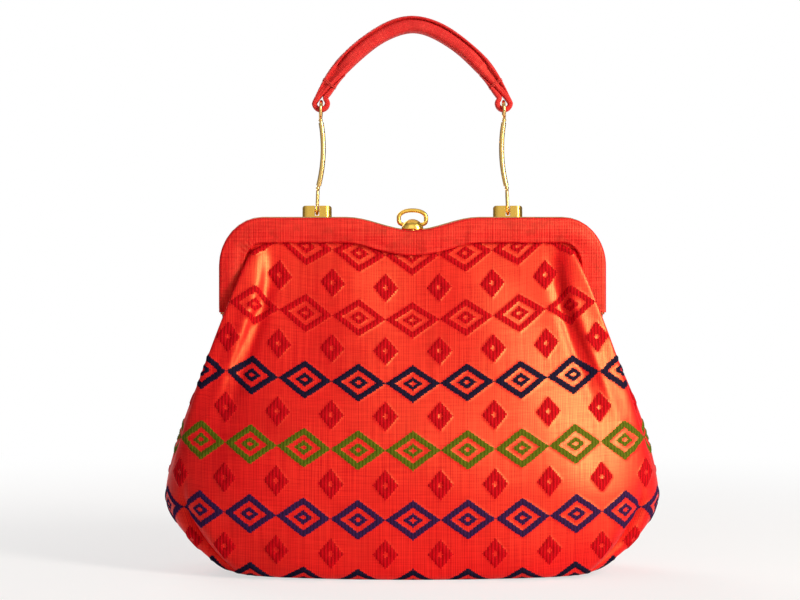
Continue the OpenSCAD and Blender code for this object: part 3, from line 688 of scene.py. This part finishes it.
def lining_quarter(q, v):
    q_grid, v_grid = np.meshgrid(q, v)
    neck = neck_at(q_grid) * LINING_IN
    neck[..., 2] -= LINING_SINK * smooth((q_grid - SIDE_Q) / SINK_Q)
    belly = oval(LINING_HALF, LINING_DEPTH, BELLY_SHAPE, q_grid, BELLY_Z)
    sweep_half = lerp(LINING_BASE, LINING_HALF, LINING_SWEEP)
    low = oval(sweep_half, LINING_BASE_DEPTH, SWEEP_SHAPE, q_grid, LINING_FLOOR)
    knee = belly.copy()
    knee[..., 2] = LINING_FLOOR + LINING_KNEE * BELLY_Z
    rise = belly.copy()
    rise[..., 2] += lerp(FRONT_RISE, SIDE_RISE, smooth(q_grid)) - LINING_EASE
    floor = oval(LINING_BASE, LINING_BASE_DEPTH, BASE_SHAPE, q_grid, LINING_FLOOR)
    under = floor.copy()
    under[..., 1] *= 1 + np.minimum(v_grid, 0)
    lower = bezier([floor, low, knee, belly], np.clip(v_grid, 0, 1)[..., None])
    upper = bezier([belly, rise, neck + neck_drop(q_grid), neck], np.clip(v_grid - 1, 0, 1)[..., None])
    hem = neck + hem_dir(q_grid) * LINING_UP * np.clip((v_grid - 2) / HEM_V, 0, 1)[..., None]
    v3 = v_grid[..., None]
    return np.where(v3 <= 0, under, np.where(v3 <= 1, lower, np.where(v3 <= 2, upper, hem)))


def lining_panel(name, side):
    half = even_columns(LINING_COLUMNS)
    under, lower = np.linspace(-1, 0, 12)[:-1], np.linspace(0, 1, 22)[:-1]
    v = np.concatenate([under, lower, np.linspace(1, 2, 50), [2 + HEM_V]])
    right = lining_quarter(half, v)
    points = np.concatenate([right[:, :0:-1] * np.array([-1, 1, 1]), right], 1)
    normal = grid_normals(points)
    q, v_grid = np.meshgrid(np.concatenate([-half[:0:-1], half]), v)
    calm = smooth((v_grid - 0.1) / 0.4) * smooth((2 - v_grid) / 0.2)
    sag = np.sin(q * 11 + side) * np.sin(v_grid * 3.1) + 0.7 * np.sin(q * 23 + v_grid * 4 + side * 2)
    points = points - normal * ((SAG + SAG_SWAY * sag) * calm)[..., None]
    step = np.linalg.norm(np.diff(points[..., :2], axis=1), axis=-1)
    across = np.concatenate([np.zeros((len(v), 1)), np.cumsum(step, 1)], 1)
    rise = np.linalg.norm(np.diff(points[..., 1:], axis=0), axis=-1)
    up = np.concatenate([np.zeros((1, rise.shape[1])), np.cumsum(rise, 0)], 0)
    if side > 0:
        points = points * np.array([1, -1, 1])
    obj = grid_object(name, points, False, stack(across, up), side > 0)
    obj.data.materials.append(lining_cloth)
    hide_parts("lining")
    return obj


front_lining = lining_panel("front_lining", -1)
rear_lining = lining_panel("rear_lining", 1)
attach(rear_lining, "bag")
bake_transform(front_lining)


# Strap: one folded band, its ends looped through the rings and tucked under the arch
ARCH_LEAN, ARCH_LIFT, ARCH_REACH = 8.8, 0.33, 0.4
ARCH = [
    np.array([RING_X + TURN_R, TURN_Z]),
    np.array([RING_X + TURN_R - ARCH_LEAN, TURN_Z + ARCH_LIFT * STRAP_RISE]),
    np.array([ARCH_REACH * RING_X, STRAP_TOP]),
    np.array([0.0, STRAP_TOP]),
]
END_W, END_T = 6.8, 3.0
TAIL_START, TAIL_END = 0.11, 0.34
TAIL_T, TAIL_GAP = 0.2, 0.05
STRAP_W, STRAP_T = 13.0, 9.5
THICK_BY, WIDE_BY = 0.4, 0.5
DIR_STEP = 0.005
LINK_REACH = 0.4
SQUARE = 0.55
FOLD_FROM, FOLD_OVER = 0.06, 0.14
TONGUE_END, TONGUE_OVER = 0.46, 0.16
# Shares of the band's width and thickness
FRONT_FROM, FRONT_OVER = 0.28, 0.15
GROOVE, GROOVE_AT, GROOVE_HALF, GROOVE_SHIFT = 0.34, 0.27, 0.045, 0.10
TONGUE_GROOVE, TONGUE_AT = 0.26, -0.10
LIP, LIP_AT, LIP_HALF = 0.05, 0.38, 0.07
TONGUE, TONGUE_MID, TONGUE_HALF = 0.10, 0.03, 0.08


def arch_at(s):
    return bezier(ARCH, np.asarray(s, float)[..., None])


def arch_dir(s):
    d = arch_at(np.minimum(1, s + DIR_STEP)) - arch_at(np.maximum(0, s - DIR_STEP))
    return d / np.linalg.norm(d, axis=-1, keepdims=True)


def arch_t(s):
    return lerp(END_T, STRAP_T, smooth(s / THICK_BY))


def arch_w(s):
    return lerp(END_W, STRAP_W, smooth(s / WIDE_BY))


def tail_t(s):
    return lerp(TAIL_T, END_T, smooth((TAIL_END - s) / (TAIL_END - TAIL_START)))


def strap_path():
    """Centre line, direction, width, thickness, fold and tongue of the band, from one tail to the other."""
    s = np.linspace(TAIL_END, TAIL_START, 24)
    d, p = arch_dir(s), arch_at(s)
    thick = tail_t(s)
    p = p + np.stack([-d[:, 1], d[:, 0]], -1) * (arch_t(s) / 2 + TAIL_GAP + thick / 2)[:, None]
    tuck = np.concatenate([p, -d, stack(np.full(len(s), END_W), thick, 0.0, 0.0)], 1)
    # A smooth link from the tail to the turn round the ring
    foot = np.array([RING_X - TURN_R, TURN_Z])
    reach = LINK_REACH * np.linalg.norm(foot - p[-1])
    poles = [p[-1], p[-1] - d[-1] * reach, foot + np.array([0, reach]), foot]
    t = np.linspace(0, 1, 14)[1:-1, None]
    link = bezier(poles, t)
    aim = np.gradient(link, axis=0)
    aim /= np.linalg.norm(aim, axis=1, keepdims=True)
    link = np.concatenate([link, aim, stack(np.full(len(t), END_W), END_T, 0.0, 0.0)], 1)
    a = np.radians(np.linspace(180, 360, 28))
    x, z = RING_X + TURN_R * np.cos(a), TURN_Z + TURN_R * np.sin(a)
    turn = stack(x, z, -np.sin(a), np.cos(a), END_W, END_T, 0.0, 0.0)
    s = np.linspace(0, 1, 80)[1:]
    fold = smooth((s - FOLD_FROM) / FOLD_OVER)
    tongue = smooth((TONGUE_END - s) / TONGUE_OVER) * fold
    arch = np.concatenate([arch_at(s), arch_dir(s), stack(arch_w(s), arch_t(s), fold, tongue)], 1)
    half = np.concatenate([tuck, link, turn, arch])
    other = half[-2::-1] * np.array([-1, 1, 1, -1, 1, 1, 1, 1])
    return np.concatenate([half, other])


def strap_section(count):
    a = np.linspace(0, 2 * np.pi, count, endpoint=False) + np.pi / 2
    c, e = np.cos(a), np.sin(a)
    across = 0.5 * np.sign(c) * np.abs(c) ** SQUARE
    out = 0.5 * np.sign(e) * np.abs(e) ** SQUARE
    return across, out


def strap_object():
    path = strap_path()
    across, out = strap_section(56)
    run = np.concatenate([[0], np.cumsum(np.linalg.norm(np.diff(path[:, :2], axis=0), axis=1))])
    fold, tongue = path[:, 6][:, None], path[:, 7][:, None]
    # The fold: a deep groove along the front, a lip above it, and a tongue that shows where it opens
    front = smooth((-across - FRONT_FROM) / FRONT_OVER)[None, :]
    level = out[None, :]
    groove = GROOVE * fold * hill(level, GROOVE_AT - GROOVE_SHIFT * tongue, GROOVE_HALF)
    groove = front * (groove + TONGUE_GROOVE * tongue * hill(level, TONGUE_AT, GROOVE_HALF))
    lip = LIP * fold * hill(level, LIP_AT, LIP_HALF) - TONGUE * tongue * hill(level, TONGUE_MID, TONGUE_HALF)
    lip = front * lip
    wander = 0.012 * np.sin(run * 0.17)[:, None] + 0.008 * np.sin(run * 0.41 + 1)[:, None]
    c = across[None, :] + groove - lip + front * wander * fold
    e = out[None, :] * (1 + 0.015 * np.sin(run * 0.23)[:, None] * fold)
    x = path[:, 0:1] + path[:, 3:4] * e * path[:, 5:6]
    y = HANDLE_Y + c * path[:, 4:5]
    z = path[:, 1:2] - path[:, 2:3] * e * path[:, 5:6]
    points = stack(x, y, z)
    ring = np.linalg.norm(np.diff(np.stack([c * path[:, 4:5], e * path[:, 5:6]], -1), axis=1), axis=-1)
    around = np.concatenate([np.zeros((len(path), 1)), np.cumsum(ring, 1)], 1)
    obj = grid_object("strap_band", points, True, stack(run[:, None], around), True)
    mesh = obj.data
    count = len(across)
    last = (len(path) - 1) * count
    extra = [list(range(count)), list(range(last + count - 1, last - 1, -1))]
    faces = [list(f.vertices) for f in mesh.polygons] + extra
    loops = np.zeros(len(mesh.loops) * 2)
    mesh.uv_layers["weave"].data.foreach_get("uv", loops)
    vertices = [tuple(p) for p in points.reshape(-1, 3) * MM]
    fresh = bpy.data.meshes.new("strap_band")
    fresh.from_pydata(vertices, [], faces)
    uv = np.concatenate([loops, np.zeros(4 * count)])
    fresh.uv_layers.new(name="weave").data.foreach_set("uv", uv)
    fresh.polygons.foreach_set("use_smooth", np.ones(len(faces), dtype=bool))
    fresh.update()
    obj.data = fresh
    fresh.materials.append(strap_cloth)
    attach(obj, "strap")
    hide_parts("strap")


strap_object()

TIE_TURNS, TIE_STEPS = 2, 40
TIE_AT, TIE_PITCH = 0.20, 0.012
TIE_LIFT, THREAD_R = 0.15, 0.25


def thread_tie(name, side):
    """Sewing thread wound round the strap where the end loop closes."""
    k = np.linspace(0, TIE_TURNS, TIE_TURNS * TIE_STEPS)
    s = TIE_AT + TIE_PITCH * k
    p, d = arch_at(s), arch_dir(s)
    a = 2 * np.pi * k
    c, e = np.cos(a), np.sin(a)
    thick = (arch_t(s) + tail_t(s)) / 2 + TIE_LIFT
    across = np.sign(c) * np.abs(c) ** SQUARE * (arch_w(s) / 2 + TIE_LIFT)
    out = np.sign(e) * np.abs(e) ** SQUARE * thick - tail_t(s) / 2
    centre = stack(side * (p[:, 0] + d[:, 1] * out), HANDLE_Y + across, p[:, 1] - d[:, 0] * out)
    tangent = np.gradient(centre, axis=0)
    tangent /= np.linalg.norm(tangent, axis=1, keepdims=True)
    along = stack(side * d[:, 0], 0.0, d[:, 1])
    first = np.cross(tangent, along)
    first /= np.linalg.norm(first, axis=1, keepdims=True)
    second = np.cross(tangent, first)
    angle = np.linspace(0, 2 * np.pi, 9)[:-1]
    ring = np.cos(angle)[None, :, None] * first[:, None] + np.sin(angle)[None, :, None] * second[:, None]
    points = centre[:, None] + THREAD_R * ring
    weave = stack((k * 30)[:, None], (angle * 0.3)[None, :])
    obj = grid_object(name, points, True, weave, side > 0)
    obj.data.materials.append(sewing_thread)
    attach(obj, "strap")


thread_tie("strap_tie_left", -1)
thread_tie("strap_tie_right", 1)

# Clasp: the oval wire loop, and a wide low cap over the catch
LOOP_ROUND, LOOP_FOOT = 0.92, 0.4
CAP_HALF, CAP_DEPTH, CAP_RISE = 6.3, 4.7, 6.2
CAP_Y, CAP_BACK, CAP_Z = -1.85, -1.3, 193.9


def clasp_ring():
    low, high = np.array(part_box("clasp_loop")) / MM
    wire = (high[1] - low[1]) / 2
    half = (high - low) / 2 - wire
    a = np.linspace(-np.pi / 2, 3 * np.pi / 2, 97)[:, None]
    b = np.linspace(0, 2 * np.pi, 17)[None, :-1]
    c, e = np.cos(a), np.sin(a)
    x = half[0] * np.sign(c) * np.abs(c) ** LOOP_ROUND
    z = half[2] * np.sign(e) * np.abs(e) ** np.where(e < 0, LOOP_FOOT, LOOP_ROUND)
    nx, nz = c / half[0], e / half[2]
    size = np.hypot(nx, nz)
    rim = wire * np.cos(b) / size
    points = stack(x + nx * rim, wire * np.sin(b), z + nz * rim) + (low + high) / 2
    obj = grid_object("clasp_ring", points, True)
    obj.data.materials.append(gilt)
    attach(obj, "clasp_flip")
    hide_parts("clasp_loop")


def catch_cap():
    a = np.linspace(0, 2 * np.pi, 49)[None, :-1]
    t = np.linspace(0, np.pi / 2, 16)[:, None]
    x = CAP_HALF * np.cos(t) * np.cos(a)
    y = np.minimum(CAP_Y + CAP_DEPTH * np.cos(t) * np.sin(a), CAP_BACK)
    dome = stack(x, y, CAP_Z + CAP_RISE * np.sin(t))
    foot = np.broadcast_to([0.0, CAP_Y, CAP_Z], dome[:1].shape)
    obj = grid_object("catch_cap", np.concatenate([foot, dome]), True)
    obj.data.materials.append(gilt)
    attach(obj, "front_half")


clasp_ring()
catch_cap()

# Metal and board keep the shapes of the part, and the tabs' edges are eased
TAB_EASE = 0.8


def dress(names, material):
    for name in names:
        nodes[name].data.materials.clear()
        nodes[name].data.materials.append(material)


def both(*pieces):
    return [f"{piece}_{side}" for piece in pieces for side in ("left", "right")]


dress(["front_frame", "rear_frame"], gilt_frame)
dress(["clasp_catch", "clasp_bracket", *both("tab", "tab_pin", "hinge_rivet")], gilt)
dress(both("bar_wire", "bar_sleeve"), gilt_pale)
dress(["base_board"], board)
for name in both("tab"):
    eased = nodes[name].modifiers.new("eased_edges", "BEVEL")
    eased.width = TAB_EASE * MM
    eased.segments = 3


# Studio, in metres: a pale sweep, lights from the right and soft fill
FLOOR_FRONT, FLOOR_BACK, FLOOR_HALF = -2.2, 1.2, 4.0
SWEEP_R, WALL_TOP = 1.2, 4.0
GLOW_NEAR, GLOW_FAR, GLOW_LOW = 0.15, 0.9, 0.62


def sweep():
    depth = np.linspace(FLOOR_FRONT, FLOOR_BACK, 30)
    rise = np.linspace(0, np.pi / 2, 24)
    wall = np.linspace(SWEEP_R, WALL_TOP, 7)[1:]
    back = np.full(len(wall), FLOOR_BACK + SWEEP_R)
    y = np.concatenate([depth, FLOOR_BACK + SWEEP_R * np.sin(rise)[1:], back])
    z = np.concatenate([np.zeros(len(depth)), SWEEP_R * (1 - np.cos(rise))[1:], wall])
    x = np.linspace(-FLOOR_HALF, FLOOR_HALF, 9)
    points = stack(x[None, :], y[:, None], z[:, None]) / MM
    obj = grid_object("sweep", points)
    s = Shader("pale_floor")
    x_at, y_at, _ = s.split(s.place())
    away = s.math("SQRT", s.add(s.mul(x_at, x_at), s.mul(y_at, y_at)))
    far = s.ramp(away, GLOW_NEAR, GLOW_FAR, GLOW_LOW, 1.0)
    diffuse = s.node("ShaderNodeBsdfDiffuse")
    s.feed(diffuse.inputs["Color"], FLOOR_TONE)
    glow = s.node("ShaderNodeEmission")
    mixed = s.node("ShaderNodeMixShader")
    seen = s.node("ShaderNodeLightPath").outputs["Is Camera Ray"]
    s.feed(mixed.inputs[0], s.mul(far, seen))
    s.tree.links.new(diffuse.outputs[0], mixed.inputs[1])
    s.tree.links.new(glow.outputs[0], mixed.inputs[2])
    s.tree.links.new(mixed.outputs[0], s.tree.nodes["Material Output"].inputs["Surface"])
    obj.data.materials.append(s.material)
    return obj


def area_light(name, place, aim, size, energy, colour):
    data = bpy.data.lights.new(name, "AREA")
    data.shape = "RECTANGLE"
    data.size, data.size_y = size
    data.energy = energy
    data.color = colour
    obj = bpy.data.objects.new(name, data)
    bpy.context.scene.collection.objects.link(obj)
    obj.location = place
    direction = np.array(aim) - np.array(place)
    yaw = math.atan2(direction[1], direction[0])
    pitch = math.atan2(direction[2], math.hypot(direction[0], direction[1]))
    obj.rotation_euler = (math.pi / 2 + pitch, 0, yaw - math.pi / 2)
    return obj


floor = sweep()
lights = [
    area_light("key_right", (0.98, -0.88, 0.62), (0, 0, 0.12), (0.3, 0.8), 20.0, (1.0, 0.96, 0.9)),
    area_light("satin_strip", (0.93, -1.00, 0.70), (0, 0, 0.14), (0.62, 0.85), 110.0, (1.0, 0.94, 0.85)),
    area_light("front_soft", (-0.25, -1.5, 1.0), (0, 0, 0.12), (1.2, 0.8), 2.0, (1.0, 0.98, 0.96)),
    area_light("top_soft", (0.0, 0.1, 1.3), (0, 0, 0.1), (1.4, 1.0), 2.8, (1.0, 1.0, 1.0)),
    area_light("rear_soft", (-0.8, 1.4, 1.1), (0, 0, 0.14), (1.2, 0.9), 14.0, (1.0, 0.98, 0.96)),
    area_light("left_fill", (-1.1, -0.4, 0.5), (0, 0, 0.14), (0.6, 0.9), 0.3, (0.96, 0.98, 1.0)),
]
# The strip only draws the gloss of the panels and covers
satin = bpy.data.collections.new("satin")
for piece in (front_panel, rear_panel, front_cover, rear_cover):
    satin.objects.link(piece)
satin_strip = lights[1]
satin_strip.light_linking.receiver_collection = satin
satin_strip.visible_diffuse = False

DIM_LIGHT = 0.08
world = bpy.data.worlds.new("studio")
bpy.context.scene.world = world
world.use_nodes = True
tree = world.node_tree
background = tree.nodes["Background"]
background.inputs["Color"].default_value = (1, 1, 1, 1)
path = tree.nodes.new("ShaderNodeLightPath")
# Metal sees a room that is bright in front and dim at the sides
heading = tree.nodes.new("ShaderNodeNewGeometry")
facing = tree.nodes.new("ShaderNodeSeparateXYZ")
room = tree.nodes.new("ShaderNodeMapRange")
room.interpolation_type = "SMOOTHSTEP"
ROOM = {"From Min": 0.95, "From Max": 0.1, "To Min": 0.6, "To Max": 0.1}
for key, value in ROOM.items():
    room.inputs[key].default_value = value
tree.links.new(heading.outputs["Normal"], facing.inputs[0])
tree.links.new(facing.outputs["Y"], room.inputs["Value"])
mirrored = tree.nodes.new("ShaderNodeMath")
mirrored.operation = "MULTIPLY_ADD"
mirrored.inputs[2].default_value = DIM_LIGHT
tree.links.new(room.outputs[0], mirrored.inputs[1])
seen = tree.nodes.new("ShaderNodeMath")
seen.operation = "MAXIMUM"
tree.links.new(path.outputs["Is Glossy Ray"], mirrored.inputs[0])
tree.links.new(mirrored.outputs[0], seen.inputs[0])
tree.links.new(path.outputs["Is Camera Ray"], seen.inputs[1])
tree.links.new(seen.outputs[0], background.inputs["Strength"])

CAMERA_AT = (-0.0071, -1.1, 0.154)
CAMERA_LENS, SENSOR = 86.7, 36.0
camera_data = bpy.data.cameras.new("camera")
camera_data.sensor_width = SENSOR
camera_data.lens = CAMERA_LENS
camera = bpy.data.objects.new("camera", camera_data)
bpy.context.scene.collection.objects.link(camera)
camera.location = CAMERA_AT
camera.rotation_euler = (math.pi / 2, 0, 0)
bpy.context.scene.camera = camera
bpy.context.scene.view_settings.view_transform = "Standard"
